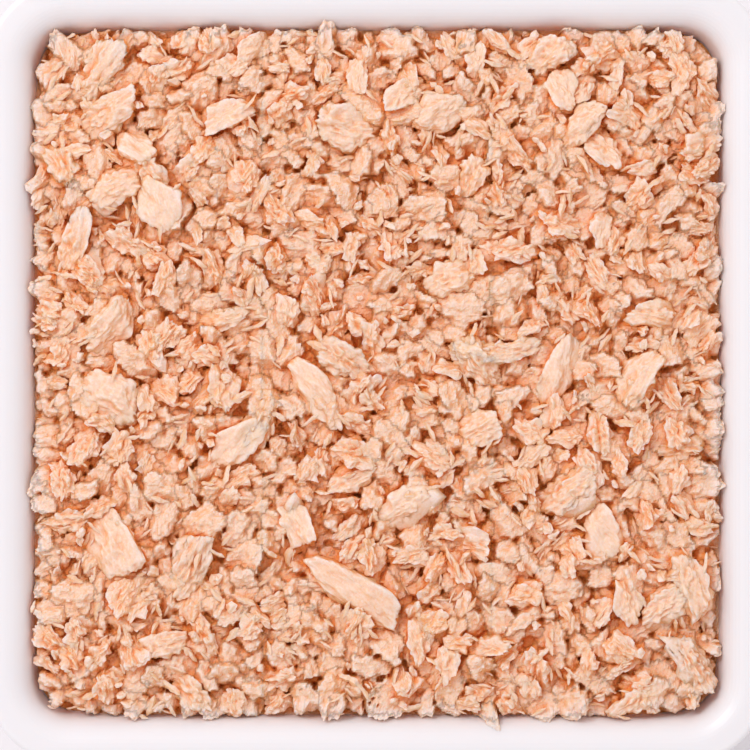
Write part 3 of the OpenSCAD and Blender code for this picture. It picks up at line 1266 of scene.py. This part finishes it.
@dataclass
class Bed:
    """The solid heart of the heap, under the loose pieces.

    Its top is the relief of the small flakes that lie there. It is made in strips, which meet face to
    face. From a share of the way out (on_wall) its edge is drawn out until it touches the wall.
    """

    well: Well
    half: float = 70.4
    corner: float = 7.9
    floor_z: float = 4.0
    foot_half: float = 62.0
    cells: int = 441
    strips: int = 3
    crumple: float = 0.2
    crumple_size: float = 0.8
    fibre_relief: float = 0.07
    fibre_pitch: float = 1.3
    fibre_run: float = 4.5
    on_wall: float = 0.94

    def build(self, field_now: HeightField, noise: Grain) -> list[Surface]:
        """Drape a grid over what is laid so far and close each strip of it down to the floor.

        Args:
            field_now: The heights, headings and tints of the buried flakes, whose pits are closed first.
            noise: The lumps and fibres of the flesh.

        Returns:
            The strips.
        """
        field_now.close_pits()
        lines = np.linspace(-1, 1, self.cells + 1)
        s, t = np.meshgrid(lines, lines, indexing="ij")
        edge = np.maximum(np.abs(s), np.abs(t))
        angle = np.arctan2(t, s)
        x, y = self.reach(angle) * edge * (np.cos(angle), np.sin(angle))
        z = field_now.blurred(x, y)
        turn = field_now.heading[field_now.cells(x, y)]
        along = (x * np.cos(turn) + y * np.sin(turn)) / self.fibre_run
        across = (y * np.cos(turn) - x * np.sin(turn)) / self.fibre_pitch
        fibres = noise.ridged(np.stack([along, across, z / self.fibre_pitch], axis=2))
        crumbs = noise.billowed(np.stack([x, y, z], axis=2) / self.crumple_size)
        z = z + self.crumple * crumbs + self.fibre_relief * fibres
        spread = self.well.half_at(z) + self.well.clearance - self.half
        share = smoothstep(self.on_wall, 1.0, edge)
        drawn = 1 + share * spread / self.half
        grid = np.stack([x * drawn, y * drawn, z], axis=2)
        cuts = np.linspace(0, self.cells, self.strips + 1).astype(int)
        return [self.strip(grid[low:high + 1], field_now) for low, high in zip(cuts[:-1], cuts[1:])]

    def strip(self, grid: Points, field_now: HeightField) -> Surface:
        """Close one strip of the grid.

        Args:
            grid: The strip's points, row by row.
            field_now: The heights, headings and tints of the buried flakes.

        Returns:
            The closed strip, whose top is torn all over.
        """
        top = grid.reshape(-1, 3)
        number = np.arange(len(top)).reshape(grid.shape[:2])
        a, b = number[:-1, :-1].ravel(), number[1:, :-1].ravel()
        c, d = number[1:, 1:].ravel(), number[:-1, 1:].ravel()
        faces = np.concatenate([np.stack([a, b, c], axis=1), np.stack([a, c, d], axis=1)])
        border = [number[:-1, 0], number[-1, :-1], number[:0:-1, -1], number[0, :0:-1]]
        border = np.concatenate(border)
        inward = self.foot_half / self.half
        foot = top[border] * (inward, inward, 0) + (0, 0, self.floor_z)
        below = len(top) + np.arange(len(border))
        upper, lower = np.roll(border, -1), np.roll(below, -1)
        middle = np.full(len(border), len(top) + len(border))
        faces = np.concatenate([faces, np.stack([border, below, lower], axis=1),
                                np.stack([border, lower, upper], axis=1),
                                np.stack([middle, lower, below], axis=1)])
        points = np.vstack([top, foot, foot.mean(axis=0)[None]])
        cell = field_now.cells(points[:, 0], points[:, 1])
        turn = field_now.heading[cell]
        along = points[:, 0] * np.cos(turn) + points[:, 1] * np.sin(turn)
        across = points[:, 1] * np.cos(turn) - points[:, 0] * np.sin(turn)
        grain = np.stack([along, across, points[:, 2]], axis=1)
        return Surface(points, faces, grain, field_now.tint[cell], np.ones(len(points)))

    def reach(self, angle: np.ndarray) -> np.ndarray:
        """Distance from the middle to the bed's round-cornered side.

        Args:
            angle: Angles from X.

        Returns:
            The distance along each angle.
        """
        wide = np.maximum(np.abs(np.cos(angle)), np.abs(np.sin(angle)))
        slim = np.minimum(np.abs(np.cos(angle)), np.abs(np.sin(angle)))
        inner = self.half - self.corner
        along = inner * (wide + slim)
        round_part = along + np.sqrt(np.maximum(along ** 2 - 2 * inner ** 2 + self.corner ** 2, 0))
        return np.where(slim * self.half <= wide * inner, self.half / wide, round_part)


@dataclass
class Batch:
    """Pieces of one kind in place, with how pale and how smooth each one is."""

    kind: Kind
    lot: Lot
    points: Points
    pale: np.ndarray
    smooth: np.ndarray


@dataclass
class FlakedTuna:
    """The tuna in the tray: a bed, and the flakes, chunks, shreds and crumbs that lie on it.

    Torn chunks and flat shards come in two goes, one under and one over the large flakes.
    """

    well: Well = Well()
    mound: Mound = Mound()
    finish: CookedTuna = CookedTuna()
    seed: int = 20
    bed_batches: int = 8
    bed_small: int = 170
    bed_torn: int = 30
    loose_broad: int = 20
    torn: tuple[int, int] = (40, 108)
    thin: tuple[int, int] = (40, 80)
    shreds: int = 620
    crumbs: int = 160
    bed_small_kind: Kind = Kind(
        "bed_small", 9, (3.0, 7.2), (0.42, 0.75), (0.45, 0.8),
        crumple=0.5, ripple=0.18, fray=0.65, tilt=18.0, sunk=0.62)
    bed_torn_kind: Kind = Kind(
        "bed_torn", 12, (6.0, 11.0), (0.42, 0.7), (0.4, 0.65),
        crumple=0.6, ripple=0.2, fray=0.8, tilt=16.0, sunk=0.62)
    broad_kind: Kind = Kind(
        "broad_flakes", 12, (9.0, 14.0), (0.42, 0.62), (0.36, 0.5), Shading.WHOLE,
        cuts=6, facet=0.6, crisp=26.0, lump=0.4, ripple=0.14, crumple=0.7, fray=0.9,
        bow=0.08, twist=0.16, tilt=8.0, sunk=0.68)
    torn_kind: Kind = Kind(
        "torn_chunks", 8, (5.0, 10.0), (0.42, 0.7), (0.4, 0.65),
        facet=0.5, crisp=18.0, crumple=0.8, ripple=0.12, fray=0.8, tilt=12.0, tries=12)
    thin_kind: Kind = Kind(
        "flat_shards", 7, (3.5, 8.0), (0.35, 0.7), (0.28, 0.45),
        facet=0.5, crisp=22.0, lump=0.3, ripple=0.12, crumple=0.5, fray=0.8, tilt=16.0, tries=8)
    crumb_kind: Kind = Kind(
        "crumbs", 3, (1.2, 3.0), (0.45, 0.8), (0.3, 0.6),
        cuts=4, crisp=24.0, lump=0.3, ripple=0.15, crumple=0.25, fray=0.5, tilt=25.0, sunk=0.85, tries=3)
    shred_kind: Kind = Kind(
        "shreds", 7, (2.0, 5.6), (0.16, 0.34), (0.4, 0.8), form=Form.STRAND,
        bow=0.05, twist=0.4, tilt=5.0, sunk=0.88, tries=3, stray=0.5, rim_highlight_share=0.25)
    placed_thickness: float = 0.42
    placed_guard: float = 1.6
    smooth_share: float = 0.85
    hidden_share: float = 0.03

    def build(self) -> dict[str, bpy.types.Object]:
        """Shape and lay every piece, then make the meshes.

        Returns:
            The pieces by name.
        """
        rng = np.random.default_rng(self.seed)
        noise = Grain(self.seed)
        tearing = Tearing(rng, noise)
        heap = Heap(self.well, self.mound, rng)
        material = self.finish.build()
        self.lay_bed(tearing, heap)
        strips = Bed(self.well).build(heap.field, noise)
        by_name: dict[str, list[Batch]] = {}
        for batch in self.lay_loose(tearing, heap):
            by_name.setdefault(batch.kind.name, []).append(batch)

        pieces = {}
        for number, surface in enumerate(strips, 1):
            name = f"bed_{number}"
            pieces[name] = self.dress(name, surface, self.bed_small_kind, heap, material)
        for name, batches in by_name.items():
            pieces[name] = self.dress(name, self.merge(batches, heap), batches[0].kind, heap, material)
        return pieces

    def lay_bed(self, tearing: Tearing, heap: Heap) -> None:
        """Lay the flakes whose relief the bed takes.

        Args:
            tearing: Shapes them.
            heap: Takes them up.
        """
        each_batch = ((self.bed_torn_kind, self.bed_torn), (self.bed_small_kind, self.bed_small))
        for _ in range(self.bed_batches):
            for kind, count in each_batch:
                lot = tearing.flakes(kind, tearing.sizes(kind, count), np.zeros(count))
                heap.lay(kind, lot, tearing.paleness(count))

    def lay_loose(self, tearing: Tearing, heap: Heap) -> list[Batch]:
        """Lay the pieces that stay loose, from the lowest to the highest.

        Args:
            tearing: Shapes them.
            heap: Takes them up.

        Returns:
            The batches, in the order in which they are laid.
        """

        def several(kind: Kind, count: int) -> Batch:
            """Lay pieces of a kind with sizes and looks drawn at random.

            Args:
                kind: The kind of piece.
                count: How many.

            Returns:
                Their batch.
            """
            smooth = tearing.smoothness(count)
            sizes = tearing.sizes(kind, count)
            pale = tearing.paleness(count)
            lot = tearing.shape(kind, sizes, smooth)
            return Batch(kind, lot, heap.lay(kind, lot, pale), pale, smooth)

        return [several(self.torn_kind, self.torn[0]),
                several(self.thin_kind, self.thin[0]),
                several(self.broad_kind, self.loose_broad),
                self.lay_by_hand(tearing, heap),
                several(self.torn_kind, self.torn[1]),
                several(self.thin_kind, self.thin[1]),
                several(self.shred_kind, self.shreds),
                several(self.crumb_kind, self.crumbs)]

    def lay_by_hand(self, tearing: Tearing, heap: Heap) -> Batch:
        """Lay the large flakes whose places are chosen.

        Args:
            tearing: Shapes them.
            heap: Takes them up.

        Returns:
            Their batch.
        """
        kind = self.broad_kind
        placed = list(PLACED_FLAKES)
        sizes = [(flake.length, flake.width, self.placed_thickness * flake.width) for flake in placed]
        pale = np.array([flake.pale for flake in placed])
        smooth = np.array([flake.smooth for flake in placed])
        lot = tearing.shape(kind, np.array(sizes), smooth)
        laid = heap.lay(kind, lot, pale, spots=placed, guard=self.placed_guard)
        return Batch(kind, lot, laid, pale, smooth)

    def merge(self, batches: list[Batch], heap: Heap) -> Surface:
        """Join the batches of one kind, without the pieces that are all but buried.

        Args:
            batches: The batches.
            heap: The finished heap, which says what can be seen.

        Returns:
            The triangles of all that is left.
        """
        points = np.concatenate([batch.points for batch in batches])
        grain = np.concatenate([batch.lot.grain for batch in batches])
        pale = np.concatenate([batch.pale for batch in batches])
        rough = 1 - self.smooth_share * np.concatenate([batch.smooth for batch in batches])
        seen = heap.seen_share(points) > self.hidden_share
        log.info("%s: %d of %d are seen", batches[0].kind.name, seen.sum(), len(seen))
        points, grain, pale, rough = points[seen], grain[seen], pale[seen], rough[seen]
        each = points.shape[1]
        faces = batches[0].lot.faces[None] + (np.arange(len(points)) * each)[:, None, None]
        return Surface(points.reshape(-1, 3), faces.reshape(-1, 3), grain.reshape(-1, 3),
                       np.repeat(pale, each), np.repeat(rough, each))

    def dress(self, name: str, surface: Surface, kind: Kind, heap: Heap,
              material: bpy.types.Material) -> bpy.types.Object:
        """Make one piece of the heap with the marks that its finish reads.

        Args:
            name: The piece's name.
            surface: Its triangles and what is known of each point.
            kind: The kind of flake that its surface is made of.
            heap: The finished heap, which gives each point's exposure.
            material: The finish's material.

        Returns:
            The new piece.
        """
        marks = {"grain": surface.grain, "tint": surface.pale, "rough": surface.rough}
        marks |= heap.exposure(surface.points)
        # Some kinds get less of the painted crest highlight.
        marks["crest_highlight"] = marks["crest_highlight"] * kind.rim_highlight_share
        return make_piece(name, surface.points, surface.faces, material, "tuna_heap",
                          marks, kind.shading.value)


@dataclass
class Tray:
    """The square tray, whose shape the frame already holds."""

    node: str = "tray"

    def build(self) -> bpy.types.Object:
        """Give the tray its finish.

        Returns:
            The frame's own tray.
        """
        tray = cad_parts[self.node]
        material = MouldedMelamine().build()
        for spot in tray.material_slots:
            spot.material = material
        log.info("%s: %d points", self.node, len(tray.data.vertices))
        return tray


@dataclass
class Studio:
    """The floor, the soft light, the pale surroundings and the camera that looks straight down."""

    view_width: float = 153.0
    view_z: float = 20.0
    camera_z: float = 900.0
    aim: tuple[float, float] = (-0.37, -0.53)
    sensor: float = 36.0
    view_far: float = 10000.0
    floor_half: float = 2000.0
    floor_colour: str = "#F3EFF2"
    floor_roughness: float = 0.7
    key_place: tuple[float, float, float] = (-720.0, 760.0, 1260.0)
    key_width: float = 420.0
    key_watts: float = 9.4
    sky_colour: str = "#FFFCFD"
    sky_strength: float = 0.815

    def build(self) -> None:
        """Make the whole studio."""
        self.make_floor()
        self.make_camera()
        self.make_light()
        self.make_world()

    def make_floor(self) -> None:
        """Lay a plain pale floor under the tray."""
        half = self.floor_half * MM
        mesh = bpy.data.meshes.new("floor")
        corners = [(-half, -half, 0), (half, -half, 0), (half, half, 0), (-half, half, 0)]
        mesh.from_pydata(corners, [], [(0, 1, 2, 3)])
        floor = bpy.data.objects.new("floor", mesh)
        bpy.context.scene.collection.objects.link(floor)
        material = bpy.data.materials.new("floor_paint")
        material.use_nodes = True
        skin = material.node_tree.nodes["Principled BSDF"]
        skin.inputs["Base Color"].default_value = linear_rgba(self.floor_colour)
        skin.inputs["Roughness"].default_value = self.floor_roughness
        mesh.materials.append(material)

    def make_camera(self) -> None:
        """Hang a long lens over the tray's middle."""
        data = bpy.data.cameras.new("camera")
        data.sensor_width = self.sensor
        data.lens = self.sensor * (self.camera_z - self.view_z) / self.view_width
        data.clip_end = self.view_far * MM
        camera = bpy.data.objects.new("camera", data)
        camera.location = (self.aim[0] * MM, self.aim[1] * MM, self.camera_z * MM)
        bpy.context.scene.collection.objects.link(camera)
        bpy.context.scene.camera = camera

    def make_light(self) -> None:
        """Hang one square soft light that faces the tray."""
        data = bpy.data.lights.new("key", "AREA")
        data.shape = "SQUARE"
        data.size = self.key_width * MM
        data.energy = self.key_watts
        light = bpy.data.objects.new("key", data)
        light.location = [part * MM for part in self.key_place]
        toward = -light.location.normalized()
        light.rotation_euler = toward.to_track_quat("-Z", "Y").to_euler()
        bpy.context.scene.collection.objects.link(light)

    def make_world(self) -> None:
        """Fill the shadows evenly from all round."""
        world = bpy.data.worlds.new("studio")
        world.use_nodes = True
        sky = world.node_tree.nodes["Background"]
        sky.inputs["Color"].default_value = linear_rgba(self.sky_colour)
        sky.inputs["Strength"].default_value = self.sky_strength
        bpy.context.scene.world = world
        bpy.context.scene.view_settings.view_transform = "Standard"


def main() -> None:
    """Build the tray, its tuna and the studio."""
    logging.basicConfig(level=logging.INFO, format="%(name)s %(message)s")
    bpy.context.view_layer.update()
    Tray().build()
    for name, piece in FlakedTuna().build().items():
        log.info("%s made of %d triangles", name, len(piece.data.polygons))
    Studio().build()


if __name__ == "__main__":
    main()
